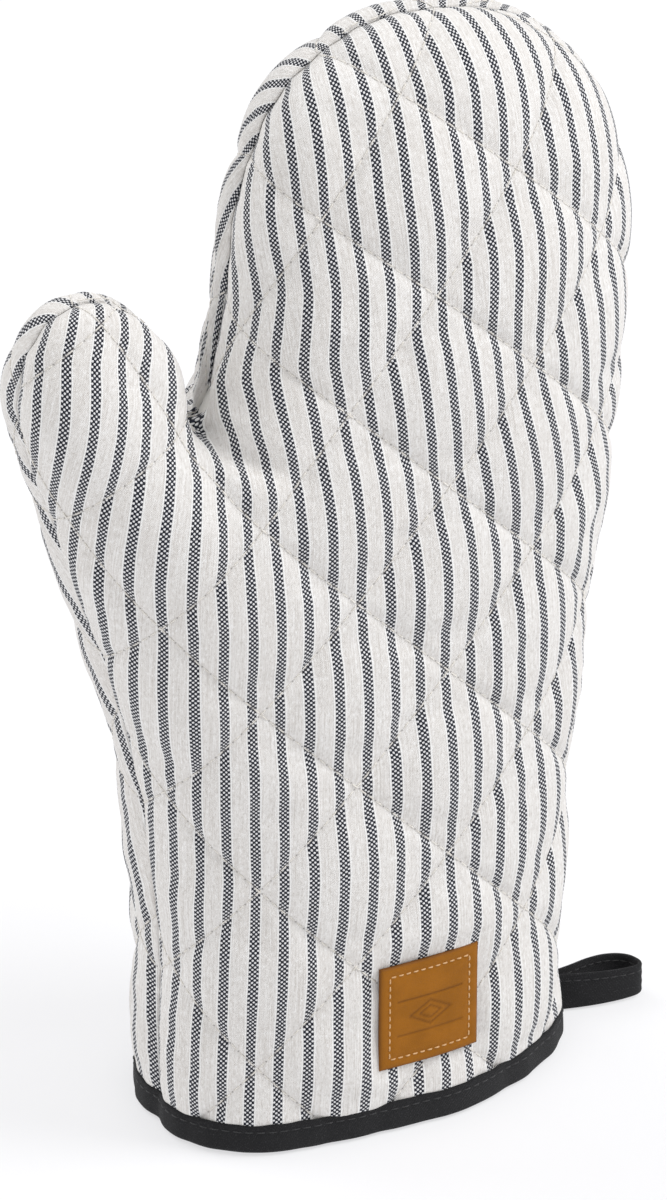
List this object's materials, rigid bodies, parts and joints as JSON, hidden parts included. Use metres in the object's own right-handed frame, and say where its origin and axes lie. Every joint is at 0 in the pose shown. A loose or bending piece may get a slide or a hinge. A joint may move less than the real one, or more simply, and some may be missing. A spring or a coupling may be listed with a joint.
{
  "type": "oven mitt",
  "caption": "Quilted cotton oven mitt with a separate thumb, standing on its opened bound cuff, with a leather patch and a side hanging loop.",
  "frame": {"origin": "on the standing surface, under the middle of the whole mitt's bounding box", "axes": "+Z from the cuff to the fingertips, -Y out of the front with the patch, +X towards the hanging loop, thumb on -X"},
  "size_m": [0.1883, 0.0836, 0.32],
  "materials": {
    "striped_cotton": "matt woven cotton, navy ticking stripes on off-white",
    "batting": "soft white fibre wadding",
    "lining_cotton": "matt plain unbleached cotton",
    "black_tape": "matt black twill tape",
    "tan_leather": "smooth tan leather with darker cut edges",
    "light_thread": "off-white cotton sewing thread",
    "black_thread": "black sewing thread"
  },
  "bodies": {
    "mitt_body": {"front_outer_panel": "striped_cotton", "back_outer_panel": "striped_cotton", "front_batting": "batting", "back_batting": "batting", "front_lining": "lining_cotton", "back_lining": "lining_cotton", "cuff_binding": "black_tape", "leather_patch": "tan_leather", "front_quilting_thread": "light_thread", "back_quilting_thread": "light_thread", "binding_stitching": "black_thread", "patch_stitching": "light_thread", "side_seam_stitching": "light_thread"},
    "loop_body": {"hanging_loop": "black_tape", "loop_stitching": "black_thread"}
  },
  "joints": [
    {"name": "hanging_loop_swing", "type": "hinge", "parent": "mitt_body", "child": "loop_body", "pos_m": [0.0728, -0.004, 0.0004], "axis": [0, 0, 1], "range_deg": [-75, 75]}
  ]
}
